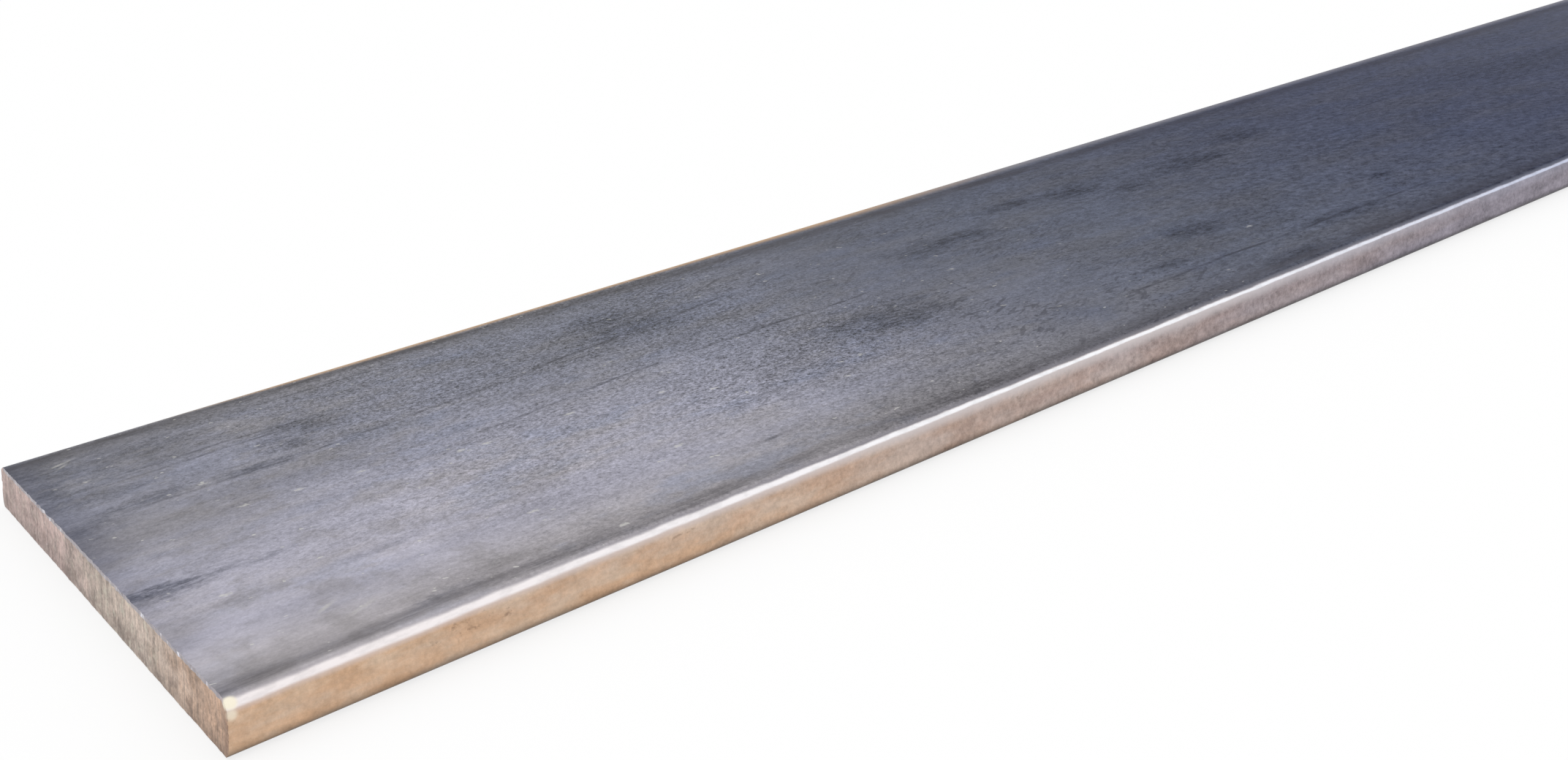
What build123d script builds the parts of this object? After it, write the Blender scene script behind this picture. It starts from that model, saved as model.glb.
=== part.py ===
from build123d import *
import math
import os

os.makedirs("parts", exist_ok=True)

# driving dimensions, millimetres
bar_length = 500.0
bar_width = 50.0
bar_thickness = 3.0
corner_radius = 0.8
shear_lean = 0.55
blade_rollover = 0.1

# derived sizes
half_length = bar_length / 2
half_width = bar_width / 2
mid_height = bar_thickness / 2
# the rounding of the leading corner shortens it, so its sharp corner is drawn this much further out
corner_angle = math.atan2(bar_thickness, shear_lean)
nose_loss = blade_rollover * (1 / math.tan(corner_angle / 2) - 1)
sharp_reach = half_length + nose_loss

# flat bar, one piece of rolled stock lying on its broad face
# x runs along the length, y across the width, and the underside lies at z = 0
with BuildPart() as flat_bar:
    # rolled section with rounded long edges
    with BuildSketch(Plane.YZ.offset(-sharp_reach)):
        with Locations((0, mid_height)):
            RectangleRounded(bar_width, bar_thickness, corner_radius)
    extrude(amount=2 * sharp_reach)
    # both ends leave the shear out of square and parallel to each other
    with BuildSketch(Plane.XZ.offset(-half_width)) as side_view:
        with BuildLine():
            Polyline(
                (-sharp_reach, 0),
                (sharp_reach - shear_lean, 0),
                (sharp_reach, bar_thickness),
                (-sharp_reach + shear_lean, bar_thickness),
                close=True,
            )
        make_face()
        # the corner where the blade entered is drawn over
        blade_corners = side_view.vertices().group_by(lambda v: abs(v.X))[-1]
        fillet(blade_corners, blade_rollover)
    extrude(amount=bar_width, mode=Mode.INTERSECT)

flat_bar.part.label = "flat_bar"
export_step(flat_bar.part, "parts/flat_bar.step")
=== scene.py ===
import math

import bpy
import numpy as np
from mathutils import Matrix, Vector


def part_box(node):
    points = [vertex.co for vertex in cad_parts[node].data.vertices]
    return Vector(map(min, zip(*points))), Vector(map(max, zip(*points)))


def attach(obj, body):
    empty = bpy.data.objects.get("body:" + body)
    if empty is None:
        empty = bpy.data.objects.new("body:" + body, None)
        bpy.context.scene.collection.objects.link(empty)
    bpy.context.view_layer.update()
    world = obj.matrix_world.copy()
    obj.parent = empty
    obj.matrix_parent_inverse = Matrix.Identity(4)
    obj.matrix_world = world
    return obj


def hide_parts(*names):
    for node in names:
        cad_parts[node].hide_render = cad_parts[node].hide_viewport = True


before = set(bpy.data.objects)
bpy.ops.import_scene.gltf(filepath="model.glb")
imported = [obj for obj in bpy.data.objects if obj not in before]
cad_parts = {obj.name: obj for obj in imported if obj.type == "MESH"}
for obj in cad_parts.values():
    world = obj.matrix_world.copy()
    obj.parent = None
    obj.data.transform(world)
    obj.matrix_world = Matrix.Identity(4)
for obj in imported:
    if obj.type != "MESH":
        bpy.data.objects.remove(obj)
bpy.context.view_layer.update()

MM = 0.001
SEED = 7

# The bar's sizes: the box comes from the frame, the section's details are the rolled stock's own
bar_low, bar_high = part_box("flat_bar")
LENGTH = bar_high.x - bar_low.x
WIDTH = bar_high.y - bar_low.y
THICKNESS = bar_high.z - bar_low.z
HALF_LENGTH = LENGTH / 2
HALF_WIDTH = WIDTH / 2
CORNER_RADIUS = 0.8 * MM
SHEAR_LEAN = 0.55 * MM
ROLLOVER = 0.1 * MM

# The fineness of the mesh; its rows crowd towards the underside, and its stations towards both ends,
# where their distances from the end are given in millimetres
CORNER_STEPS = 12
COLUMNS_ACROSS = 290
ROWS_UP = 16
ROW_CROWDING = 1.25
STATIONS_ALONG = 62
STATIONS_NEAR_END = (0, 0.06, 0.16, 0.32, 0.6, 1.0, 1.6, 2.5, 3.8, 5.5)
SHARP_ANGLE = math.radians(38)

# The relief of a cut face: how deep the scores and the torn part lie, and how far the burr stands out
SCORE_DEPTH = 0.022 * MM
TORN_DEPTH = 0.03 * MM
TORN_ROUGHNESS = 0.022 * MM
BURR_HEIGHT = 0.13 * MM
BURR_FOOT = 0.05 * MM
BURR_LIMIT = 0.12 * MM

# The bar's materials, in the order of the mesh's slots
SKIN, CUT, BURR = range(3)

# The texture map's layout: the height of each of the two skin bands, and the gaps
BAND_HEIGHT = 0.44
MAP_GAP = 0.006
CUT_MAP_WIDTH = 0.5 - 1.5 * MAP_GAP
CUT_MAP_FOOT = 2 * BAND_HEIGHT + 3 * MAP_GAP
CUT_MAP_HEIGHT = 1 - MAP_GAP - CUT_MAP_FOOT

# The photograph's camera, fitted to the bar's outline
CAMERA_PLACE = (-0.2639652, -0.0943185, 0.0362987)
CAMERA_TURN_DEGREES = (71.6638, 7.3754, -37.2407)
CAMERA_LENS = 35.859
CAMERA_SENSOR = 36.0
CAMERA_NEAR = 0.005
CAMERA_FAR = 30

# The white floor: half its side, its gap under the bar, its paint and its own glow
FLOOR_REACH = 6.0
FLOOR_GAP = 0.02 * MM
FLOOR_PAINT = (0.92, 0.92, 0.92, 1)
FLOOR_GLOW = 0.75

# The light from the horizon and from overhead, and the height in the sky where the latter is full
HORIZON_LIGHT = 0.70
OVERHEAD_LIGHT = 1.15
OVERHEAD_FROM = 0.7
WHITE = (1, 1, 1, 1)


# Small tools for shapes

def smooth_noise(places, wavelength, rng):
    """Soft random values between -1 and 1 along a line of places, about one bump per wavelength."""
    start = places.min() - 2 * wavelength
    # a few knots to spare past both ends
    count = int((places.max() - start) / wavelength) + 5
    knots = rng.uniform(-1, 1, count)
    position = (places - start) / wavelength
    left = np.floor(position).astype(int)
    blend = position - left
    blend = blend * blend * (3 - 2 * blend)
    return knots[left] * (1 - blend) + knots[left + 1] * blend


def cut_profile(height):
    """How far a cut face lies inside the bar's end at each height; its rounded foot stands out most."""
    corner_angle = math.atan2(THICKNESS, SHEAR_LEAN)
    touch = ROLLOVER / math.tan(corner_angle / 2)
    nose_loss = touch - ROLLOVER
    plane = SHEAR_LEAN * height / THICKNESS - nose_loss
    drop = np.clip(ROLLOVER - height, 0, ROLLOVER)
    rounding = touch - np.sqrt(ROLLOVER ** 2 - drop ** 2) - nose_loss
    return np.where(height < ROLLOVER, np.maximum(plane, rounding), plane)


def section_grid():
    """The rolled section as a grid of points: columns across the width, rows up the thickness."""
    turn = np.linspace(0, math.pi / 2, CORNER_STEPS + 1)
    flat_edge = HALF_WIDTH - CORNER_RADIUS
    corner = flat_edge + CORNER_RADIUS * np.cos(turn)
    corner_foot = CORNER_RADIUS * (1 - np.sin(turn))
    middle = np.linspace(-flat_edge, flat_edge, COLUMNS_ACROSS + 1)[1:-1]
    across = np.concatenate([-corner, middle, corner[::-1]])
    foot = np.concatenate([corner_foot, np.zeros(len(middle)), corner_foot[::-1]])
    share = np.linspace(0, 1, ROWS_UP + 1) ** ROW_CROWDING
    across_grid = np.repeat(across[:, None], ROWS_UP + 1, axis=1)
    height_grid = foot[:, None] + (THICKNESS - 2 * foot)[:, None] * share[None, :]
    return across_grid, height_grid


def shear_relief(across, height, rng):
    """How deep a cut face lies behind its plane: scores, then torn metal, then the burr that stands out."""
    def bumps(size):
        return smooth_noise(across[:, 0], size * MM, rng)

    score = 0.012 * MM * bumps(0.35) + 0.010 * MM * bumps(1.1)
    # the blade cut cleanly to about a third of the way up, and the rest tore
    torn_line = 0.34 + 0.10 * bumps(3.5) + 0.05 * bumps(0.9)
    share = height / THICKNESS
    torn = np.clip((share - torn_line[:, None]) / 0.08, 0, 1)
    rough = np.stack([bumps(0.28) for _ in range(across.shape[1])], axis=1)
    depth = score[:, None] + SCORE_DEPTH + torn * (TORN_DEPTH + TORN_ROUGHNESS * rough)
    # short pieces of burr, larger in some places than in others
    burr = np.clip(bumps(0.5) - 0.25, 0, 1) ** 1.5
    burr = burr * np.clip(0.65 + 0.6 * bumps(6), 0.1, 1)
    depth[:, -1] -= BURR_HEIGHT * burr
    depth[:, -2] -= BURR_FOOT * burr
    return np.maximum(depth, -BURR_LIMIT * share)


def lengthwise_shares():
    """Stations along the bar as shares of its length, close together near the ends."""
    near = np.array(STATIONS_NEAR_END) * MM / LENGTH
    middle = np.linspace(near[-1], 1 - near[-1], STATIONS_ALONG)[1:-1]
    return np.concatenate([near, middle, 1 - near[::-1]])


def outline_ring(index):
    """The numbers of the points round the section's outline, in order."""
    return np.concatenate([index[:, 0], index[-1, 1:], index[-2::-1, -1], index[0, -2:0:-1]])


def bar_points(across, height, ring, shares):
    """The bar's points: the near cut face, the far one, and the rings of the skin between them."""
    rng = np.random.default_rng(SEED)
    near_x = -HALF_LENGTH + cut_profile(height) + shear_relief(across, height, rng)
    # the far end was cut from the other side
    upside_down = THICKNESS - height
    far_relief = shear_relief(across, upside_down[:, ::-1], rng)[:, ::-1]
    far_x = HALF_LENGTH - cut_profile(upside_down) - far_relief
    near_cap = np.stack([near_x, across, height], axis=-1).reshape(-1, 3)
    far_cap = np.stack([far_x, across, height], axis=-1).reshape(-1, 3)
    share = shares[1:-1, None, None]
    skin = near_cap[ring][None] * (1 - share) + far_cap[ring][None] * share
    return np.concatenate([near_cap, far_cap, skin.reshape(-1, 3)])


def bar_faces(index, ring, ring_count):
    """The bar's faces: those of the two cut faces in pairs, then the skin ring by ring."""
    far_start = index.size
    skin_start = 2 * far_start
    count = len(ring)
    faces = []
    for k in range(index.shape[0] - 1):
        for m in range(index.shape[1] - 1):
            a, b = index[k, m], index[k + 1, m]
            c, d = index[k + 1, m + 1], index[k, m + 1]
            faces.append((a, d, c, b))
            faces.append((far_start + a, far_start + b, far_start + c, far_start + d))
    between = [skin_start + s * count + np.arange(count) for s in range(ring_count)]
    loops = [ring, *between, far_start + ring]
    for first, second in zip(loops[:-1], loops[1:]):
        for i in range(count):
            j = (i + 1) % count
            faces.append((first[i], first[j], second[j], second[i]))
    return [tuple(int(v) for v in face) for face in faces]


def material_slots(columns, rows, face_count):
    """The material of each face; the burr runs along the edge of each cut where the metal broke."""
    slots = np.full(face_count, SKIN, dtype=np.int32)
    slots[:2 * (columns - 1) * (rows - 1)] = CUT
    for k in range(CORNER_STEPS, columns - 1 - CORNER_STEPS):
        slots[2 * (k * (rows - 1) + rows - 2)] = BURR
        slots[2 * k * (rows - 1) + 1] = BURR
    return slots


def rolled_out(across, height, ring):
    """Where each edge of the section's outline starts and ends as the skin is rolled out, in shares."""
    outline = np.stack([across.ravel()[ring], height.ravel()[ring]], axis=1)
    edge = np.roll(outline, -1, axis=0) - outline
    length = np.linalg.norm(edge, axis=1)
    on_long_edge = np.abs(outline[:, 0] + edge[:, 0] / 2) > HALF_WIDTH - CORNER_RADIUS
    # the long edges are drawn twice as wide, and the seam lies in the middle of the underside
    length = np.where(on_long_edge, 2 * length, length)
    seam = len(across) // 2
    place = np.concatenate([[0.0], np.cumsum(np.roll(length, -seam))])
    place = place / place[-1]
    return np.roll(place[:-1], seam), np.roll(place[1:], seam)


def skin_quads(start, finish, first, second, scale):
    """Where one ring of the skin lies on the map: in the lower band for the first half of the bar."""
    in_first_half = first < 0.5
    left = MAP_GAP if in_first_half else 1 - MAP_GAP - scale
    foot = MAP_GAP if in_first_half else 2 * MAP_GAP + BAND_HEIGHT
    low, high = foot + BAND_HEIGHT * start, foot + BAND_HEIGHT * finish
    near = np.full(len(start), left + scale * first)
    far = np.full(len(start), left + scale * second)
    corners = [(near, low), (near, high), (far, high), (far, low)]
    return np.stack([np.stack(corner, axis=-1) for corner in corners], axis=1)


def add_map(mesh, across, height, ring, shares):
    """A layout for texture maps: the skin in two bands, half the bar in each, and the two cut faces."""
    columns, rows = across.shape
    count = len(ring)
    sheet = np.zeros((len(mesh.polygons), 4, 2))

    # the two cut faces lie side by side above the bands
    caps = 2 * (columns - 1) * (rows - 1)
    cap_left = MAP_GAP + CUT_MAP_WIDTH * (across / WIDTH + 0.5)
    cap = np.stack([cap_left, CUT_MAP_FOOT + CUT_MAP_HEIGHT * height / THICKNESS], axis=-1)
    a, b, c, d = cap[:-1, :-1], cap[1:, :-1], cap[1:, 1:], cap[:-1, 1:]
    sheet[0:caps:2] = np.stack([a, d, c, b], axis=2).reshape(-1, 4, 2)
    sheet[1:caps:2] = np.stack([a, b, c, d], axis=2).reshape(-1, 4, 2) + [CUT_MAP_WIDTH + MAP_GAP, 0]

    # each ring of the skin is an upright strip of its band
    start, finish = rolled_out(across, height, ring)
    scale = (1 - 2 * MAP_GAP) / (shares[shares < 0.5].max() + np.diff(shares).max())
    for k, (first, second) in enumerate(zip(shares[:-1], shares[1:])):
        band = skin_quads(start, finish, first, second, scale)
        sheet[caps + k * count: caps + (k + 1) * count] = band
    mesh.uv_layers.new(name="OFBake").data.foreach_set("uv", sheet.ravel())


def build_bar():
    """The bar as one closed mesh: two cut faces and the rolled skin between them."""
    across, height = section_grid()
    columns, rows = across.shape
    index = np.arange(columns * rows).reshape(columns, rows)
    ring = outline_ring(index)
    shares = lengthwise_shares()
    points = bar_points(across, height, ring, shares)
    faces = bar_faces(index, ring, len(shares) - 2)

    mesh = bpy.data.meshes.new("flat_bar_steel")
    mesh.from_pydata(points.tolist(), [], faces)
    mesh.update()
    for material in (rolled_steel(), sheared_steel(), burr_steel()):
        mesh.materials.append(material)
    mesh.polygons.foreach_set("material_index", material_slots(columns, rows, len(faces)))
    mesh.polygons.foreach_set("use_smooth", np.ones(len(faces), dtype=bool))
    mesh.set_sharp_from_angle(angle=SHARP_ANGLE)
    add_map(mesh, across, height, ring, shares)
    bar = bpy.data.objects.new("flat_bar_steel", mesh)
    bpy.context.scene.collection.objects.link(bar)
    return bar


# Small tools for materials: places, distances and the sizes of patterns are in millimetres

# Where a soft spot starts to fade and where it ends, as shares of its half size
SPOT_CORE = 0.10
SPOT_RIM = 1.35


def srgb(red, green, blue):
    """A colour given as it looks on screen, 0 to 255, in the shader's linear values."""
    def linear(value):
        value = value / 255
        return value / 12.92 if value <= 0.04045 else ((value + 0.055) / 1.055) ** 2.4
    return (linear(red), linear(green), linear(blue), 1.0)


class Nodes:
    """A short way to write the nodes of a material or of the world."""

    def __init__(self, owner):
        owner.use_nodes = True
        self.tree = owner.node_tree
        self.tree.nodes.clear()

    def add(self, kind, **settings):
        node = self.tree.nodes.new("ShaderNode" + kind)
        for name, value in settings.items():
            setattr(node, name, value)
        return node

    def put(self, value, socket):
        """Sets a socket to a number or colour, or joins another node's output to it."""
        if isinstance(value, bpy.types.NodeSocket):
            self.tree.links.new(value, socket)
        elif value is not None:
            socket.default_value = value

    def math(self, operation, first, second=None, clamp=False):
        node = self.add("Math", operation=operation, use_clamp=clamp)
        self.put(first, node.inputs[0])
        self.put(second, node.inputs[1])
        return node.outputs[0]

    def times(self, first, second):
        return self.math("MULTIPLY", first, second)

    def line(self, value, slope, start, clamp=False):
        """A straight line: start plus slope times the value."""
        node = self.add("Math", operation="MULTIPLY_ADD", use_clamp=clamp)
        for socket, number in zip(node.inputs, (value, slope, start)):
            self.put(number, socket)
        return node.outputs[0]

    def swing(self, noise, share):
        """A noise taken about its middle, up and down by half the share."""
        return self.times(self.math("SUBTRACT", noise, 0.5), share)

    def step(self, value, low, high, low_value=0.0, high_value=1.0):
        """A soft step: low_value below low, high_value above high."""
        node = self.add("MapRange", interpolation_type="SMOOTHSTEP")
        for socket, number in zip(node.inputs, (value, low, high, low_value, high_value)):
            self.put(number, socket)
        return node.outputs[0]

    def noise(self, vector, scale, detail=3.0, roughness=0.5, distortion=0.0):
        """Cloudy noise between 0 and 1; scale says how many bumps there are in a unit of the vector."""
        node = self.add("TexNoise")
        self.put(vector, node.inputs["Vector"])
        node.inputs["Scale"].default_value = scale
        node.inputs["Detail"].default_value = detail
        node.inputs["Roughness"].default_value = roughness
        node.inputs["Distortion"].default_value = distortion
        return node.outputs["Fac"]

    def stretch(self, vector, along, across, up=None, offset=0.0):
        """The place divided by a pattern's size in millimetres; each pattern has an offset of its own."""
        node = self.add("Mapping")
        self.put(vector, node.inputs["Vector"])
        node.inputs["Scale"].default_value = (1 / along, 1 / across, 1 / (up or across))
        node.inputs["Location"].default_value = (offset, offset * 0.7, offset * 1.3)
        return node.outputs[0]

    def mix(self, factor, first, second):
        """Between two colours; their sockets come after those for numbers and vectors."""
        node = self.add("Mix", data_type="RGBA")
        self.put(factor, node.inputs["Factor"])
        self.put(first, node.inputs[6])
        self.put(second, node.inputs[7])
        return node.outputs[2]

    def blend(self, factor, first, second):
        """Between two numbers."""
        node = self.add("Mix", data_type="FLOAT")
        self.put(factor, node.inputs["Factor"])
        self.put(first, node.inputs[2])
        self.put(second, node.inputs[3])
        return node.outputs[0]

    def blend_shaders(self, factor, first, second):
        """Between two shaders."""
        node = self.add("MixShader")
        self.put(factor, node.inputs[0])
        self.put(first.outputs[0], node.inputs[1])
        self.put(second.outputs[0], node.inputs[2])
        return node

    def result(self, shader, output="OutputMaterial"):
        """Makes a shader what the tree shows."""
        self.put(shader.outputs[0], self.add(output).inputs["Surface"])

    def parts(self, vector):
        """A vector's three numbers."""
        node = self.add("SeparateXYZ")
        self.put(vector, node.inputs[0])
        return node.outputs

    def distance(self, vector, point):
        """How far a place lies from a point."""
        node = self.add("VectorMath", operation="DISTANCE")
        self.put(vector, node.inputs[0])
        node.inputs[1].default_value = point
        return node.outputs["Value"]

    def relief(self, height, strength=0.6):
        """A bumpy normal from a height in millimetres."""
        bump = self.add("Bump")
        bump.inputs["Strength"].default_value = strength
        bump.inputs["Distance"].default_value = MM
        self.put(height, bump.inputs["Height"])
        return bump.outputs[0]

    def scale_colour(self, colour, factor):
        """A colour made lighter or darker by a number."""
        node = self.add("VectorMath", operation="SCALE")
        self.put(colour, node.inputs[0])
        self.put(factor, node.inputs["Scale"])
        return node.outputs[0]


def bar_place(nodes):
    """The place on the bar in millimetres: from the photographed end, across, and up."""
    texture = nodes.add("TexCoord")
    shift = nodes.add("VectorMath", operation="MULTIPLY_ADD")
    nodes.put(texture.outputs["Object"], shift.inputs[0])
    shift.inputs[1].default_value = (1 / MM, 1 / MM, 1 / MM)
    shift.inputs[2].default_value = (HALF_LENGTH / MM, 0, 0)
    return shift.outputs[0]


def from_either_end(nodes, along):
    """The distance from the nearer end: both ends were cut and handled alike."""
    return nodes.math("MINIMUM", along, nodes.math("SUBTRACT", LENGTH / MM, along))


def spot(nodes, place, centre, size, ragged=None):
    """A soft spot: 1 at its middle, fading to 0 at its rim, which is ragged where noise is given."""
    move = nodes.add("VectorMath", operation="MULTIPLY_ADD")
    nodes.put(place, move.inputs[0])
    move.inputs[1].default_value = [1 / s for s in size]
    move.inputs[2].default_value = [-c / s for c, s in zip(centre, size)]
    reach = nodes.add("VectorMath", operation="LENGTH")
    nodes.put(move.outputs[0], reach.inputs[0])
    distance = reach.outputs["Value"]
    if ragged is not None:
        distance = nodes.math("ADD", distance, ragged)
    return nodes.step(distance, SPOT_CORE, SPOT_RIM, 1.0, 0.0)


def strongest(nodes, marks):
    """Several masks together: the strongest wins."""
    total = marks[0]
    for mark in marks[1:]:
        total = nodes.math("MAXIMUM", total, mark)
    return total


def weighted(nodes, *terms):
    """One plus the sum of noises, each taken about its middle and weighted."""
    total = 1.0
    for noise, weight in terms:
        total = nodes.math("SUBTRACT", nodes.line(noise, weight, total), weight / 2)
    return total


def flecks(nodes, place, long_size, wide_size, turn, offset, low, high):
    """Small marks where a stretched noise passes a limit, turned in the plane of the broad face."""
    node = nodes.add("VectorRotate", rotation_type="Z_AXIS")
    nodes.put(place, node.inputs["Vector"])
    node.inputs["Angle"].default_value = math.radians(turn)
    turned = nodes.stretch(node.outputs[0], long_size, wide_size, offset=offset)
    return nodes.step(nodes.noise(turned, 1.0, detail=1), low, high)


# The colours of the broad faces: the scale near the ends, away from them, and far from them; the pale near
# the ends is partly painted light and the deepest far away partly painted shade
PALE_LIT_SCALE = srgb(184, 182, 196)
DEEP_SCALE = srgb(101, 107, 124)
DEEPEST_SHADED_SCALE = srgb(86, 91, 110)
# where it is warmer or cooler, over deep and over pale scale
WARM_DEEP = srgb(104, 101, 98)
WARM_PALE = srgb(178, 170, 162)
COOL_DEEP = srgb(84, 93, 118)
COOL_PALE = srgb(158, 168, 196)
# and the marks on it
SMUDGE = srgb(140, 136, 136)
DARK_PATCH = srgb(80, 90, 116)
DARK_BAND = srgb(62, 58, 62)
PIT = srgb(44, 44, 54)
NICK = srgb(222, 221, 216)
BRIGHT_LINE = srgb(206, 204, 198)
CUT_MARGIN = srgb(72, 76, 100)
CUT_RIM = srgb(212, 214, 232)

# The colours of the long edges: bare steel, rust bloom in two shades, and rust specks
EDGE_STEEL = srgb(148, 142, 152)
EDGE_BLOOM = (srgb(206, 170, 139), srgb(203, 179, 157))
RUST_SPECK = srgb(112, 90, 76)
# the upper rounding near the end, further along and far away: the painted glow under its highlight, its
# top, and its painted highlight line
HIGHLIGHT_GLOW = (srgb(212, 194, 186), srgb(210, 202, 202), srgb(172, 174, 192))
ROUNDING_TOP = (srgb(166, 160, 166), srgb(132, 130, 137), srgb(106, 110, 126))
HIGHLIGHT_LINE = (srgb(244, 237, 237), srgb(250, 250, 254), srgb(206, 212, 234))
# and the painted highlight on the far long edge's rim, over bare steel and over rust bloom
BACK_RIM_HIGHLIGHT = (srgb(176, 173, 176), srgb(238, 197, 150))

# The colours of the cut faces: the bloom from the near side to the far side, and the marks on it
CUT_BLOOM = (srgb(200, 170, 148), srgb(200, 184, 172), srgb(194, 172, 166))
PATINA = srgb(216, 210, 194)
CUT_FOOT = srgb(112, 92, 84)
CUT_CORNER = srgb(128, 98, 84)
CUT_DOT = srgb(232, 226, 222)
CUT_LIP = srgb(196, 196, 212)
# a painted glint at the corner of the near cut end
PAINTED_GLINT = srgb(250, 242, 222)
# the burr's steel, and its bright flecks, which are partly painted glints
BURR_STEEL_AND_GLINT = (srgb(150, 142, 148), srgb(236, 236, 246))

# How each metal reflects at a low angle; the thick scale away from the ends mirrors less
BARE_GLANCE = (0.60, 0.60, 0.60, 1.0)
THICK_GLANCE = (0.35, 0.36, 0.42, 1.0)
CUT_GLANCE = (0.8, 0.8, 0.8, 1.0)

# A size so large that a spot doesn't end in that direction
ANY = 1e6

# Dark patches in the scale: distance from the end, place across, half length, half width, depth
PATCHES = (
    (17.8, 12.0, 3.2, 2.6, 0.75),
    (16.4, 8.8, 2.0, 1.5, 0.65),
    (13.2, 6.6, 4.0, 0.9, 0.80),
    (5.8, 6.9, 4.4, 1.1, 0.65),
    (4.0, 18.0, 10.0, 7.5, 0.50),
    (1.5, 5.0, 2.6, 2.6, 0.35),
    (1.7, 15.0, 1.8, 4.0, 0.70),
    (3.4, 11.4, 2.6, 1.2, 0.35),
    (4.0, -5.5, 3.6, 5.5, 0.15),
    (6.0, -16.5, 4.0, 4.0, 0.10),
    (44.5, 13.0, 5.0, 4.8, 0.75),
    (57.4, -6.6, 5.8, 4.4, 0.75),
    (58.3, -8.8, 1.4, 1.2, 0.90),
    (75.0, 6.8, 7.0, 2.8, 0.90),
    (88.0, 11.3, 3.6, 2.0, 0.80),
    (94.5, 9.2, 4.5, 2.6, 0.90),
    (98.0, 4.9, 2.6, 1.5, 0.60),
    (109.0, 7.0, 5.5, 2.6, 0.75),
    (121.0, 10.3, 5.0, 2.6, 0.60),
    (87.4, -10.9, 3.4, 2.0, 0.65),
    (78.3, -16.0, 2.6, 1.0, 0.70),
    (85.2, -22.6, 5.0, 1.2, 0.60),
    (98.0, -19.0, 5.0, 1.3, 0.55),
    (109.8, -13.5, 1.6, 1.1, 1.00),
    (2.0, -8.9, 4.2, 1.5, 0.90),
    (7.6, -9.4, 2.6, 0.6, 0.40),
    (12.8, -14.2, 2.4, 0.6, 0.40),
    (12.9, -22.9, 2.4, 0.8, 0.55),
    (165.0, 4.0, 17.0, 7.0, 0.30),
    (201.0, -15.0, 13.0, 4.5, 0.26),
    (232.0, -7.0, 19.0, 6.0, 0.34),
    (272.0, 16.0, 9.0, 4.0, 0.30),
    (301.0, 9.0, 15.0, 8.0, 0.34),
    (340.0, -16.0, 12.0, 4.0, 0.26),
    (372.0, -2.0, 21.0, 5.0, 0.34),
    (408.0, 17.0, 10.0, 4.0, 0.30),
    (438.0, 8.0, 12.0, 5.5, 0.45),
    (452.0, -14.0, 7.0, 2.4, 0.45),
    (473.0, 16.0, 9.0, 3.0, 0.35),
    (493.0, -8.0, 8.0, 9.0, 0.40),
)

# Paler places, given the same way
PALE_PATCHES = (
    (25.0, -8.0, 15.0, 16.0, 0.04),
    (31.0, -20.2, 11.0, 3.6, 0.14),
    (47.0, -18.0, 15.0, 4.5, 0.09),
    (24.5, 4.2, 7.0, 4.0, 0.13),
    (58.0, 9.0, 11.0, 6.5, 0.09),
    (106.0, 15.0, 7.0, 2.6, 0.10),
    (470.0, -11.0, 10.0, 7.0, 0.08),
    (130.0, -6.0, 16.0, 6.0, 0.05),
    (268.0, 4.0, 20.0, 7.0, 0.07),
    (345.0, 14.0, 16.0, 6.0, 0.06),
    (405.0, -12.0, 14.0, 6.0, 0.07),
)

# Bright nicks in the scale: their half size, and the distance from the end and place across of each
NICK_SIZE = (0.36, 0.22, ANY)
NICKS = (
    (4.6, -12.6), (9.4, 6.7), (10.0, 0.1), (13.3, -0.3), (17.3, -0.9),
    (21.2, -16.9), (23.2, -3.3), (23.6, -23.1), (25.0, -3.6), (31.3, -3.4),
    (32.4, -15.3), (37.6, -5.4), (50.4, -11.5), (69.3, -0.6), (90.3, -14.3),
)

# Fine dark scratches in the scale: from and to, each a distance from the end and a place across,
# and the length over which they fade
SCRATCH_FADE = 2.2
SCRATCHES = (
    (5.4, 14.2, 18.0, 14.0),
    (3.0, 12.7, 18.4, 12.7),
    (3.4, 6.1, 16.6, 5.9),
    (15.6, 5.9, 33.0, 7.9),
    (32.0, 7.8, 56.0, 11.6),
    (17.0, 20.7, 28.0, 20.6),
    (34.5, -19.7, 39.8, -19.2),
    (37.2, -4.3, 40.2, -2.8),
    (24.0, -1.3, 42.4, 0.8),
    (42.4, 0.8, 62.0, 0.5),
    (64.0, -12.0, 68.5, 2.8),
    (70.0, -18.3, 110.0, -18.9),
    (128.0, 6.0, 171.0, 7.1),
    (210.0, -14.0, 262.0, -12.6),
    (330.0, 3.0, 381.0, 1.2),
    (415.0, -6.0, 470.0, -6.8),
)

# Short bright scratches near the cut end, given the same way
BRIGHT_SCRATCH_FADE = 0.8
BRIGHT_SCRATCHES = (
    (2.6, 20.2, 5.0, 21.4),
    (3.0, 19.4, 4.4, 20.8),
    (3.4, 14.4, 4.6, 15.3),
    (2.2, 13.0, 3.1, 14.3),
    (1.1, 11.0, 2.1, 12.2),
    (8.0, -21.4, 10.4, -20.2),
    (7.0, -19.6, 8.8, -18.6),
)

# Clusters of dark rust specks on the long edges: half size, and distance from the end and height
RUST_CLUSTER_SIZE = (3.4, ANY, 0.8)
RUST_CLUSTERS = (
    (13.0, 1.9), (27.0, 2.0), (53.0, 2.1), (65.0, 1.9), (80.0, 2.2),
    (88.0, 1.9), (206.0, 1.2), (338.0, 1.8), (431.0, 1.4),
)


def patches(nodes, place, rows):
    """All the patches of a list together, with ragged rims."""
    ragged = nodes.noise(nodes.stretch(place, 5.0, 2.0), 1.0, detail=6, roughness=0.75)
    ragged = nodes.swing(ragged, 3.0)
    marks = []
    for along, across, long_size, wide_size, depth in rows:
        mark = spot(nodes, place, (along, across, 0), (long_size, wide_size, ANY), ragged)
        marks.append(nodes.times(mark, depth))
    return strongest(nodes, marks)


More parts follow.
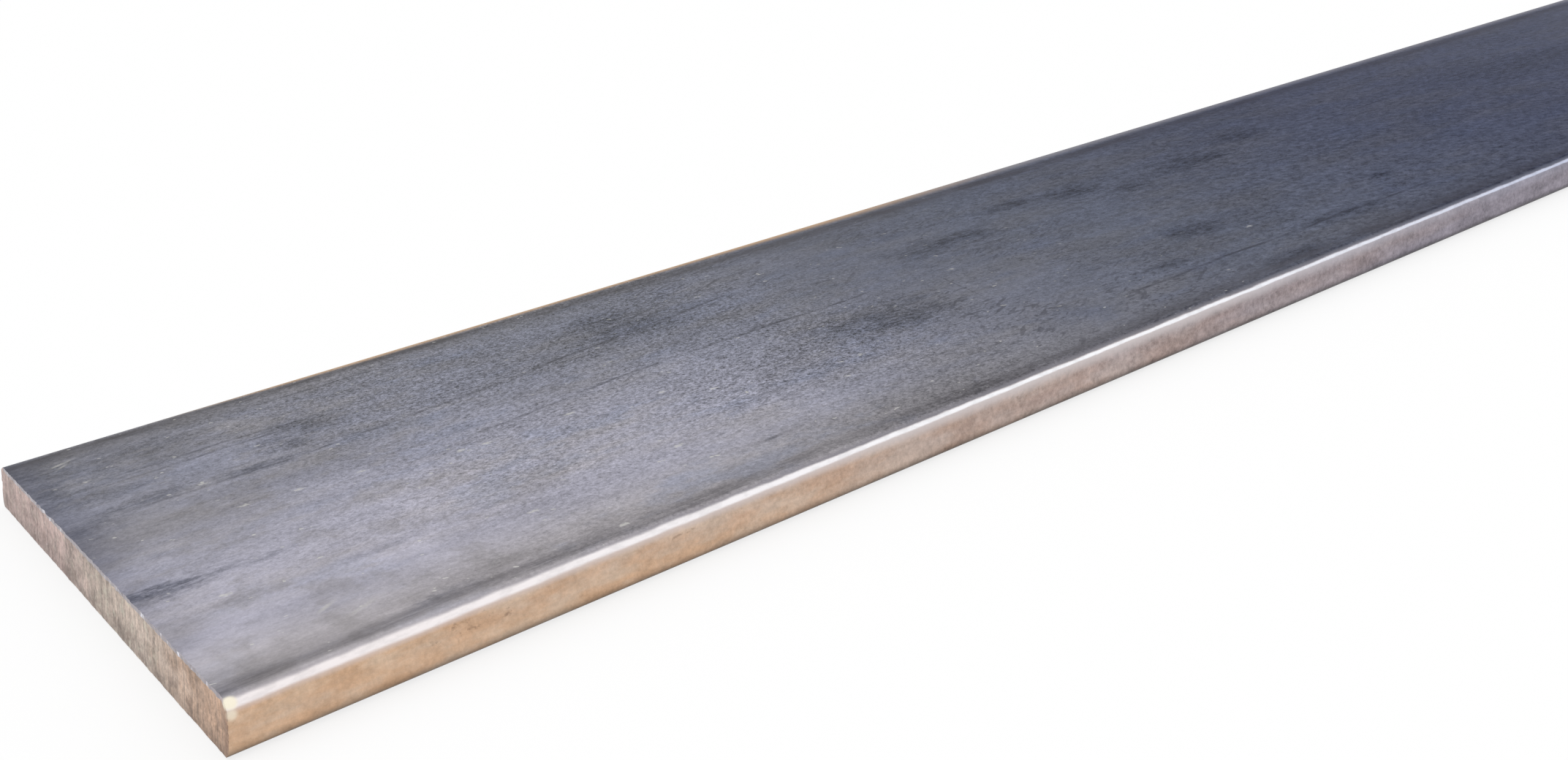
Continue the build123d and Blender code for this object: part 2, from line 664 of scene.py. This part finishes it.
def bright_nicks(nodes, place):
    """Small nicks through the scale, each an uneven fleck less than a millimetre long."""
    ragged = nodes.swing(nodes.noise(place, 3.0, detail=2), 3.0)
    marks = []
    for along, across in NICKS:
        marks.append(spot(nodes, place, (along, across, 0), NICK_SIZE, ragged))
    return strongest(nodes, marks)


def scratches(nodes, place, along, across, lines, fade):
    """Thin lines together: they wander a little and fade at their ends."""
    wander = nodes.noise(nodes.stretch(place, 6, 60, offset=71), 1.0, detail=3)
    wander = nodes.swing(wander, 1.1)
    marks = []
    for from_along, from_across, to_along, to_across in lines:
        slope = (to_across - from_across) / (to_along - from_along)
        line = nodes.line(along, slope, from_across - slope * from_along)
        off = nodes.math("SUBTRACT", nodes.math("SUBTRACT", across, line), wander)
        core = nodes.step(nodes.math("ABSOLUTE", off), 0.07, 0.29, 1.0, 0.0)
        begin = nodes.step(along, from_along, from_along + fade)
        finish = nodes.step(along, to_along - fade, to_along, 1.0, 0.0)
        marks.append(nodes.times(core, nodes.times(begin, finish)))
    broken = nodes.noise(nodes.stretch(place, 2.2, 40, offset=73), 1.0, detail=3, roughness=0.7)
    return nodes.times(strongest(nodes, marks), nodes.step(broken, 0.36, 0.62, 0.35, 1.0))


def dark_band(nodes, place, along, across, from_edge):
    """The darker line beside each long edge, further in on the far side."""
    wander = nodes.noise(nodes.stretch(place, 22, 400, offset=23), 1.0, detail=3)
    far_side = nodes.times(nodes.step(across, 0, 1), nodes.step(along, 15, 80, 0.4, 2.4))
    inside = nodes.math("ADD", from_edge, nodes.swing(wander, 0.9))
    inside = nodes.math("SUBTRACT", inside, far_side)
    near_end = nodes.step(along, 30, 70, 0.6, 0.0)
    rise = nodes.step(nodes.math("SUBTRACT", inside, near_end), -0.35, 0.50)
    steep_fall = nodes.step(inside, 1.3, 2.5, 0.68, 0.0)
    gentle_fall = nodes.step(inside, 2.0, 4.8, 0.32, 0.0)
    shape = nodes.times(rise, nodes.math("ADD", steep_fall, gentle_fall))

    strength = nodes.noise(nodes.stretch(place, 7, 400, offset=27), 1.0, detail=2)
    strength = nodes.step(strength, 0.34, 0.62, 0.76, 1.06)
    strength = nodes.times(strength, nodes.step(across, 0, 1, 1.0, 1.35))
    strokes = nodes.noise(nodes.stretch(place, 7, 0.6, offset=35), 1.0, detail=3, roughness=0.65)
    strength = nodes.times(strength, nodes.step(strokes, 0.36, 0.60, 0.70, 1.25))
    return nodes.times(strength, shape)


def grain_strength(nodes, along, across):
    """The grain is weaker beside the near long edge, and stronger on the far side near the cut."""
    calm = nodes.step(across, -20, -8, nodes.step(along, 44, 70, 0.50, 0.95), 1.0)
    lively = nodes.step(across, 2, 10, 1.0, nodes.step(along, 28, 44, 1.5, 1.0))
    return nodes.times(calm, lively)


def scale_grain(nodes, place, from_end, strength):
    """The grain of the scale, coarser away from the cut ends, and its fine part alone for the relief."""
    fine = nodes.noise(place, 3.8, detail=2, roughness=0.85)
    grows = nodes.step(from_end, 4, 30, 1.0, 2.7)
    peaks = nodes.step(from_end, 30, 46, 0.0, 1.4)
    fades = nodes.step(from_end, 50, 66, 0.0, 2.4)
    fine_share = nodes.math("ADD", nodes.math("SUBTRACT", grows, fades), peaks)
    coarse = nodes.noise(nodes.stretch(place, 0.9, 0.7, offset=15), 1.0, detail=3, roughness=0.75)
    coarse_share = nodes.step(from_end, 45, 115, 0.0, 2.6)
    both = nodes.math("ADD", nodes.swing(fine, fine_share), nodes.swing(coarse, coarse_share))
    return nodes.times(both, strength), fine


def scale_tone(nodes, place, across, from_end, skin, grain, darkening):
    """How light the scale is, as a factor: clouds, streaks, grain, blotches and patches."""
    cloud = nodes.noise(nodes.stretch(place, 26, 11), 1.0, detail=4, roughness=0.55)
    streak = nodes.noise(nodes.stretch(place, 38, 1.2, offset=11), 1.0, detail=4, roughness=0.6)
    fine_streak = nodes.noise(nodes.stretch(place, 4.5, 0.22, offset=17), 1.0, detail=2)
    tone = weighted(nodes, (cloud, 0.72), (skin, 0.56), (streak, 0.30), (fine_streak, 0.16))
    tone = nodes.math("ADD", tone, grain)
    tone = nodes.math("ADD", tone, patches(nodes, place, PALE_PATCHES))
    blotch = nodes.noise(nodes.stretch(place, 3.2, 1.6, offset=39), 1.0, detail=4, roughness=0.6)
    far_side = nodes.step(across, -2, 12, 0.3, 1.0)
    blotch_share = nodes.times(far_side, nodes.step(from_end, 10, 30, 0.9, 0.25))
    tone = nodes.math("ADD", tone, nodes.swing(blotch, blotch_share))
    # a little darker some way in from each end
    dip = nodes.times(nodes.step(from_end, 36, 54, 0.0, 0.07), nodes.step(from_end, 66, 86, 1.0, 0.0))
    return nodes.math("SUBTRACT", nodes.math("SUBTRACT", tone, dip), darkening)


def scale_tint(nodes, place, across, from_end, dark):
    """The colour of the scale: pale near the cut ends, deeper further in, warm and cool in places; the
    change from pale to deep is partly painted light and shade, and the darker far side is painted shade.
    """
    # painted shade: the far side is darker some way in from the ends
    painted_side_shade = nodes.times(nodes.step(across, -16, 12), nodes.step(from_end, 44, 72, 0.58, 0.05))
    # paler near the ends: thinner scale, and painted light that fades along the bar
    pale = nodes.step(from_end, 2, 90, 1.0, 0.0)
    pale = nodes.math("SUBTRACT", pale, nodes.times(pale, painted_side_shade))
    # the deepest colour far from the ends is partly painted shade
    deep = nodes.mix(nodes.step(from_end, 80, 150), DEEP_SCALE, DEEPEST_SHADED_SCALE)
    colour = nodes.mix(pale, deep, PALE_LIT_SCALE)

    # warm in patches, and beside both long edges near the ends
    warm = nodes.noise(nodes.stretch(place, 17, 7, offset=29), 1.0, detail=4, roughness=0.65)
    warmth = nodes.times(nodes.step(warm, 0.42, 0.66), nodes.step(from_end, 60, 120, 0.34, 0.30))
    near_side = nodes.step(across, -22.5, -16, 0.50, 0.0)
    beside = nodes.math("ADD", near_side, nodes.step(across, 17, 23, 0.0, 0.35))
    beside = nodes.times(beside, nodes.step(from_end, 40, 90, 1.0, 0.2))
    warmth = nodes.math("MAXIMUM", warmth, beside)
    colour = nodes.mix(warmth, colour, nodes.mix(pale, WARM_DEEP, WARM_PALE))

    cool = nodes.noise(nodes.stretch(place, 9, 5, offset=33), 1.0, detail=4, roughness=0.65)
    cool = nodes.times(nodes.step(cool, 0.50, 0.68), nodes.step(from_end, 8, 30, 0.15, 0.36))
    colour = nodes.mix(cool, colour, nodes.mix(pale, COOL_DEEP, COOL_PALE))
    smudge = nodes.noise(nodes.stretch(place, 2.8, 3.0, offset=45), 1.0, detail=4, roughness=0.6)
    smudge = nodes.times(nodes.step(smudge, 0.48, 0.66), nodes.step(from_end, 14, 40, 0.40, 0.0))
    colour = nodes.mix(smudge, colour, SMUDGE)
    return nodes.mix(nodes.times(dark, 0.38), colour, DARK_PATCH)


def small_marks(nodes, place, along, across, strength):
    """Pits, short dashes and fine scratches, in crowds, and the pits alone for the relief."""
    crowd = nodes.noise(place, 0.11, detail=3)
    pit_low = nodes.step(crowd, 0.38, 0.60, 0.67, 0.56)
    pits = nodes.noise(nodes.stretch(place, 0.50, 0.34, offset=31), 1.0, detail=2)
    pits = nodes.math("MULTIPLY", nodes.math("SUBTRACT", pits, pit_low), 7.0, clamp=True)
    pits = nodes.times(pits, nodes.step(along, 6, 32, 0.35, 1.0))
    pits = nodes.times(pits, strength)

    many = nodes.times(nodes.step(crowd, 0.40, 0.56, 0.25, 1.0), strength)
    dashes = flecks(nodes, place, 1.7, 0.60, 8, 83, 0.62, 0.68)
    slanted = flecks(nodes, place, 2.0, 0.50, -30, 89, 0.63, 0.69)
    dashes = nodes.times(nodes.math("MAXIMUM", dashes, slanted), many)
    dashes = nodes.times(dashes, nodes.step(along, 16, 52, 0.12, 1.0))
    dashes = nodes.times(dashes, nodes.step(along, 62, 96, 1.0, 0.55))
    lines = scratches(nodes, place, along, across, SCRATCHES, SCRATCH_FADE)
    marks = [nodes.times(dashes, 0.7), nodes.times(lines, 0.95), nodes.times(pits, 0.9)]
    return strongest(nodes, marks), pits


def bright_marks(nodes, place, along, across, from_end, face):
    """Bright nicks and short bright scratches on top of the scale."""
    nicks = flecks(nodes, place, 0.70, 0.46, 24, 43, 0.755, 0.785)
    nicks = nodes.times(nicks, nodes.step(from_end, 60, 100, 0.7, 0.0))
    bright = strongest(nodes, [nicks, nodes.times(bright_nicks(nodes, place), 0.62)])
    face = nodes.mix(bright, face, NICK)
    lines = scratches(nodes, place, along, across, BRIGHT_SCRATCHES, BRIGHT_SCRATCH_FADE)
    return nodes.mix(nodes.times(lines, 0.55), face, BRIGHT_LINE)


def cut_margin(nodes, place, across, from_end, skin, face):
    """The cut leaves a dark margin and a bright torn rim on the broad faces."""
    ragged_end = nodes.math("ADD", from_end, nodes.times(skin, 3.0))
    margin = nodes.step(ragged_end, 1.2, 5.2, 1.0, 0.0)
    margin = nodes.times(margin, nodes.step(across, -20, 2, 0.25, 1.0))
    face = nodes.mix(nodes.times(margin, 0.46), face, CUT_MARGIN)
    torn = nodes.noise(nodes.stretch(place, 30, 1.1, offset=47), 1.0, detail=5, roughness=0.75)
    rim_width = nodes.step(torn, 0.54, 0.72, -0.20, 0.60)
    rim = nodes.step(nodes.math("SUBTRACT", rim_width, from_end), -0.20, 0.05)
    return nodes.mix(nodes.times(rim, 0.8), face, CUT_RIM)


def scale_face(nodes, place, along, across, from_edge):
    """The broad faces: blue-grey mill scale, paler and thinner towards the cut ends, the paleness partly
    painted light.
    """
    from_end = from_either_end(nodes, along)
    skin = nodes.stretch(place, 6.5, 4.0, offset=5)
    skin = nodes.noise(skin, 1.0, detail=5, roughness=0.60, distortion=0.3)
    strength = grain_strength(nodes, along, across)
    grain, fine_grain = scale_grain(nodes, place, from_end, strength)
    inner = nodes.noise(nodes.stretch(place, 2.0, 0.8, offset=21), 1.0, detail=4, roughness=0.75)
    inner = nodes.step(inner, 0.38, 0.58, 0.40, 1.25)
    dark = nodes.times(patches(nodes, place, PATCHES), inner)
    darkening = nodes.times(dark, nodes.step(along, 55, 90, 0.45, 0.68))
    tone = scale_tone(nodes, place, across, from_end, skin, grain, darkening)
    face = nodes.scale_colour(scale_tint(nodes, place, across, from_end, dark), tone)
    band = nodes.times(dark_band(nodes, place, along, across, from_edge), 0.48)
    face = nodes.mix(band, face, DARK_BAND)

    marks, pits = small_marks(nodes, place, along, across, strength)
    marks = nodes.times(marks, nodes.step(along, 10, 60, 0.45, 0.72))
    face = nodes.mix(marks, face, PIT)
    face = bright_marks(nodes, place, along, across, from_end, face)
    face = cut_margin(nodes, place, across, from_end, skin, face)
    rough = nodes.line(skin, 0.10, 0.27)
    height = nodes.math("SUBTRACT", nodes.times(fine_grain, 0.006), nodes.times(pits, 0.006))
    return face, rough, height


# The places of two small painted glints at the corner of the near cut end
UPPER_GLINT_SPOT = (0.76, -24.72, 2.74)
LOWER_GLINT_SPOT = (0.66, -25.00, 2.26)


def painted_corner_glint(nodes, place):
    """A painted glint on two small spots at the corner."""
    upper = nodes.step(nodes.distance(place, UPPER_GLINT_SPOT), 0.22, 0.46, 1.0, 0.0)
    lower = nodes.step(nodes.distance(place, LOWER_GLINT_SPOT), 0.10, 0.40, 1.0, 0.0)
    lower = nodes.times(lower, 0.6)
    return nodes.math("MAXIMUM", upper, lower)


def rust_specks(nodes, place):
    """Dark specks on the long edges, few and scattered but for the clusters."""
    marks = [spot(nodes, place, (along, 0, up), RUST_CLUSTER_SIZE) for along, up in RUST_CLUSTERS]
    limit = nodes.step(strongest(nodes, marks), 0.0, 1.0, 0.72, 0.55)
    specks = nodes.noise(nodes.stretch(place, 0.7, 0.7, 0.5, offset=61), 1.0, detail=3, roughness=0.65)
    return nodes.math("MULTIPLY", nodes.math("SUBTRACT", specks, limit), 6.0, clamp=True)


def in_turn(nodes, value, colours, first_step, second_step):
    """Three colours in turn as the value grows, with a soft step from each to the next."""
    colour = nodes.mix(nodes.step(value, *first_step), colours[0], colours[1])
    return nodes.mix(nodes.step(value, *second_step), colour, colours[2])


def rounding_highlight(nodes, place, along, up, colour):
    """The upper rounding with a painted highlight: a bright line that narrows and cools further along, over
    a painted glow.
    """
    highlight_wobble = nodes.noise(nodes.stretch(place, 2.6, 2.6, 0.6, offset=77), 1.0, detail=4, roughness=0.65)
    height = nodes.line(highlight_wobble, 0.16, nodes.math("SUBTRACT", up, 0.08))
    # painted glow under the highlight, weaker further along
    glow_under_highlight = nodes.step(height, nodes.step(along, 10, 60, 2.18, 1.70), 2.55)
    glow_under_highlight = nodes.times(glow_under_highlight, nodes.step(along, 75, 110, 0.88, 0.35))
    colour = nodes.mix(glow_under_highlight, colour, in_turn(nodes, along, HIGHLIGHT_GLOW, (0, 50), (60, 120)))
    top = in_turn(nodes, along, ROUNDING_TOP, (0, 60), (60, 120))
    colour = nodes.mix(nodes.step(height, 2.72, 2.84), colour, top)

    # the painted highlight line, narrower further along
    half = nodes.step(along, 0, 60, 1.00, 0.52)
    centre = nodes.step(along, 0, 60, 2.70, 2.66)
    off = nodes.math("ABSOLUTE", nodes.math("SUBTRACT", height, centre))
    core = nodes.step(nodes.math("DIVIDE", off, half), 0.08, 0.27, 1.0, 0.0)
    bright = in_turn(nodes, along, HIGHLIGHT_LINE, (0, 60), (60, 130))
    mottle = nodes.noise(nodes.stretch(place, 1.1, 1.1, 0.4, offset=79), 1.0, detail=3, roughness=0.65)
    bright = nodes.scale_colour(bright, nodes.step(mottle, 0.34, 0.56, 0.92, 1.02))
    return nodes.mix(core, colour, bright)


def long_edge_with_painted_light(nodes, place, along, up):
    """The long edges: tan rust bloom near the cut ends, cool bare steel further along, with painted shade
    on the lower rounding and a painted highlight on the upper one.
    """
    bloom = nodes.noise(nodes.stretch(place, 26, 26, 3.0, offset=51), 1.0, detail=3)
    bloom = nodes.math("SUBTRACT", bloom, 0.5)
    near_end = nodes.step(from_either_end(nodes, along), 0, 112, 1.0, 0.0)
    rust = nodes.line(bloom, 0.6, near_end, clamp=True)
    sand = nodes.noise(nodes.stretch(place, 5.0, 5.0, 1.6, offset=53), 1.0, detail=4, roughness=0.6)
    tan = nodes.mix(nodes.step(sand, 0.36, 0.64), *EDGE_BLOOM)
    colour = nodes.mix(rust, EDGE_STEEL, tan)

    crossing = nodes.noise(nodes.stretch(place, 0.55, 0.55, 2.6, offset=57), 1.0, detail=3, roughness=0.6)
    smudge = nodes.noise(nodes.stretch(place, 1.8, 1.8, 0.9, offset=63), 1.0, detail=3, roughness=0.6)
    grain = nodes.noise(place, 2.6, detail=3, roughness=0.8)
    tone = weighted(nodes, (crossing, 0.22), (sand, 0.36), (smudge, 0.38), (grain, 0.64))
    contrast = nodes.step(along, 10, 80, 1.05, 2.1)
    uneven = nodes.line(nodes.math("SUBTRACT", tone, 1.0), contrast, 1.0)
    colour = nodes.scale_colour(colour, uneven)
    colour = nodes.mix(nodes.times(rust_specks(nodes, place), 0.65), colour, RUST_SPECK)

    # the lower rounding is darker: painted shade where it turns towards the floor
    foot = nodes.step(up, 0.05, 0.85, nodes.step(along, 5, 50, 0.46, 0.40), 1.0)
    colour = nodes.scale_colour(colour, foot)
    colour = rounding_highlight(nodes, place, along, up, colour)
    return colour, nodes.line(crossing, 0.12, 0.29), nodes.times(grain, 0.008)


def back_rim_highlight(nodes, along, across, up, from_edge, colour):
    """A painted highlight on the far long edge's rim, peach where rust has bloomed, broader further along.
    """
    reach = nodes.math("ADD", nodes.step(along, 5, 30, 0.85, 1.7), nodes.step(along, 50, 90, 0.0, 1.0))
    rim = nodes.times(nodes.step(from_edge, 0.45, reach, 1.0, 0.0), nodes.step(across, 0, 1))
    rim = nodes.times(rim, nodes.step(up, 2.5, 2.85))
    bloom = nodes.times(nodes.step(along, 8, 22), nodes.step(along, 70, 105, 1.0, 0.0))
    return nodes.mix(rim, colour, nodes.mix(bloom, *BACK_RIM_HIGHLIGHT))


def metal(nodes, colour, rough, height, glance=None):
    """A metal with this colour, roughness and relief; glance is its tint at a low angle."""
    shader = nodes.add("BsdfPrincipled")
    nodes.put(colour, shader.inputs["Base Color"])
    shader.inputs["Metallic"].default_value = 1.0
    nodes.put(glance, shader.inputs["Specular Tint"])
    nodes.put(rough, shader.inputs["Roughness"])
    nodes.put(nodes.relief(height), shader.inputs["Normal"])
    nodes.result(shader)


def rolled_steel():
    """The rolled skin: mill scale on the broad faces, bare metal on the long edges, with painted highlights
    on the edges and a painted glint at one corner.
    """
    material = bpy.data.materials.new("rolled_steel")
    nodes = Nodes(material)
    place = bar_place(nodes)
    along, across, up = nodes.parts(place)
    from_edge = nodes.math("SUBTRACT", HALF_WIDTH / MM, nodes.math("ABSOLUTE", across))
    face, face_rough, face_height = scale_face(nodes, place, along, across, from_edge)
    edge, edge_rough, edge_height = long_edge_with_painted_light(nodes, place, along, up)
    is_edge = nodes.step(from_edge, 0.28, 0.62, 1.0, 0.0)
    colour = nodes.mix(is_edge, face, edge)
    colour = back_rim_highlight(nodes, along, across, up, from_edge, colour)
    # a painted glint at the near corner
    colour = nodes.mix(painted_corner_glint(nodes, place), colour, PAINTED_GLINT)
    thick = nodes.step(from_either_end(nodes, along), 30, 150)
    glance = nodes.mix(is_edge, nodes.mix(thick, BARE_GLANCE, THICK_GLANCE), BARE_GLANCE)
    rough = nodes.blend(is_edge, face_rough, edge_rough)
    metal(nodes, colour, rough, nodes.blend(is_edge, face_height, edge_height), glance)
    return material


def cut_marks(nodes, place, across, up, colour):
    """The marks on a cut face: patina, a darker foot, a darker corner, bright dots and a torn lip."""
    patina = nodes.noise(nodes.stretch(place, 4, 0.9, 0.7, offset=19), 1.0, detail=4, roughness=0.7)
    middle = nodes.times(nodes.step(across, -16, -11), nodes.step(across, -2, 3, 1.0, 0.35))
    patina = nodes.times(nodes.step(patina, 0.50, 0.66), middle)
    colour = nodes.mix(nodes.times(patina, 0.62), colour, PATINA)
    foot = nodes.noise(nodes.stretch(place, 4, 2.2, 1.3, offset=37), 1.0, detail=4, roughness=0.7)
    foot = nodes.times(nodes.step(foot, 0.46, 0.64), nodes.step(up, 0.6, 1.8, 1.0, 0.15))
    colour = nodes.mix(nodes.times(foot, 0.55), colour, CUT_FOOT)
    corner = nodes.step(across, -24.9, -23.6, 1.0, 0.0)
    colour = nodes.mix(nodes.times(corner, 0.40), colour, CUT_CORNER)
    dots = nodes.noise(nodes.stretch(place, 4, 0.34, 0.34, offset=41), 1.0, detail=1)
    dots = nodes.times(nodes.step(dots, 0.74, 0.80), nodes.step(across, 4, 12, 0.15, 0.8))
    colour = nodes.mix(dots, colour, CUT_DOT)
    torn = nodes.noise(nodes.stretch(place, 4, 1.0, 4.0, offset=47), 1.0, detail=5, roughness=0.75)
    lip_low = nodes.step(torn, 0.48, 0.70, 3.02, 2.62)
    lip = nodes.step(nodes.math("SUBTRACT", up, lip_low), -0.04, 0.10)
    return nodes.mix(nodes.times(lip, 0.60), colour, CUT_LIP)


def sheared_steel():
    """The two cut faces: scored and torn steel with a thin tan bloom."""
    material = bpy.data.materials.new("sheared_steel")
    nodes = Nodes(material)
    place = bar_place(nodes)
    _, across, up = nodes.parts(place)
    score = nodes.noise(nodes.stretch(place, 4, 0.24, 4.5, offset=3), 1.0, detail=3, roughness=0.6)
    broad = nodes.noise(nodes.stretch(place, 4, 0.9, 4.0, offset=13), 1.0, detail=3, roughness=0.6)
    cloud = nodes.noise(nodes.stretch(place, 4, 3.6, 1.5, offset=9), 1.0, detail=5, roughness=0.65)
    grain = nodes.noise(place, 3.0, detail=3, roughness=0.8)
    shifted = nodes.math("ADD", across, nodes.swing(cloud, 16))
    colour = in_turn(nodes, shifted, CUT_BLOOM, (-24, -10), (-4, 10))
    tone = weighted(nodes, (score, 1.3), (broad, 0.9), (cloud, 1.4), (grain, 1.6))
    tone = nodes.times(tone, nodes.step(up, 0.1, 1.3, 0.76, 0.96))
    colour = cut_marks(nodes, place, across, up, nodes.scale_colour(colour, tone))
    # a painted glint at the near corner
    colour = nodes.mix(painted_corner_glint(nodes, place), colour, PAINTED_GLINT)
    height = nodes.math("ADD", nodes.times(score, 0.02), nodes.times(grain, 0.01))
    metal(nodes, colour, nodes.line(score, 0.2, 0.38), height, CUT_GLANCE)
    return material


def burr_steel():
    """The thin torn lip along a sheared edge, bright in flecks where the blade broke it: bare torn metal,
    with painted glints.
    """
    material = bpy.data.materials.new("burr_steel")
    nodes = Nodes(material)
    place = bar_place(nodes)
    glint = nodes.noise(nodes.stretch(place, 2, 0.8, 2, offset=5), 1.0, detail=4, roughness=0.75)
    colour = nodes.mix(nodes.step(glint, 0.54, 0.68), *BURR_STEEL_AND_GLINT)
    metal(nodes, colour, 0.3, nodes.times(glint, 0.05))
    return material


# The studio

def sees_background(nodes):
    """1 for rays that should meet the white background: those of the camera, of gloss and through glass."""
    path = nodes.add("LightPath")
    total = nodes.math("MAXIMUM", path.outputs["Is Camera Ray"], path.outputs["Is Glossy Ray"])
    return nodes.math("MAXIMUM", total, path.outputs["Is Transmission Ray"])


def build_floor():
    """A plain white floor that keeps the bar's soft shadow."""
    corners = ((-1, -1), (1, -1), (1, 1), (-1, 1))
    points = [(x * FLOOR_REACH, y * FLOOR_REACH, 0) for x, y in corners]
    mesh = bpy.data.meshes.new("floor")
    mesh.from_pydata(points, [], [(0, 1, 2, 3)])
    floor = bpy.data.objects.new("floor", mesh)
    floor.location.z = bar_low.z - FLOOR_GAP
    bpy.context.scene.collection.objects.link(floor)
    material = bpy.data.materials.new("floor")
    nodes = Nodes(material)
    paint = nodes.add("BsdfDiffuse")
    paint.inputs["Color"].default_value = FLOOR_PAINT
    glow = nodes.add("Emission")
    glow_share = nodes.times(sees_background(nodes), FLOOR_GLOW)
    nodes.result(nodes.blend_shaders(glow_share, paint, glow))
    mesh.materials.append(material)


def build_world():
    """Plain soft light from all round, stronger from overhead, behind a white background."""
    world = bpy.data.worlds.new("studio")
    bpy.context.scene.world = world
    nodes = Nodes(world)
    _, _, up = nodes.parts(nodes.add("TexCoord").outputs["Generated"])
    light = nodes.add("Background")
    nodes.put(nodes.step(up, 0.0, OVERHEAD_FROM, HORIZON_LIGHT, OVERHEAD_LIGHT), light.inputs[1])
    white = nodes.add("Background")
    for background in (light, white):
        background.inputs[0].default_value = WHITE
    blend = nodes.blend_shaders(sees_background(nodes), light, white)
    nodes.result(blend, "OutputWorld")


def build_camera():
    """The photograph's point of view, low over the bar's near corner."""
    camera = bpy.data.cameras.new("camera")
    camera.lens = CAMERA_LENS
    camera.sensor_width = CAMERA_SENSOR
    camera.clip_start = CAMERA_NEAR
    camera.clip_end = CAMERA_FAR
    holder = bpy.data.objects.new("camera", camera)
    holder.location = CAMERA_PLACE
    holder.rotation_euler = [math.radians(a) for a in CAMERA_TURN_DEGREES]
    bpy.context.scene.collection.objects.link(holder)
    bpy.context.scene.camera = holder


bar = build_bar()
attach(bar, "root")
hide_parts("flat_bar")
build_floor()
build_world()
build_camera()
bpy.context.scene.view_settings.view_transform = "Standard"
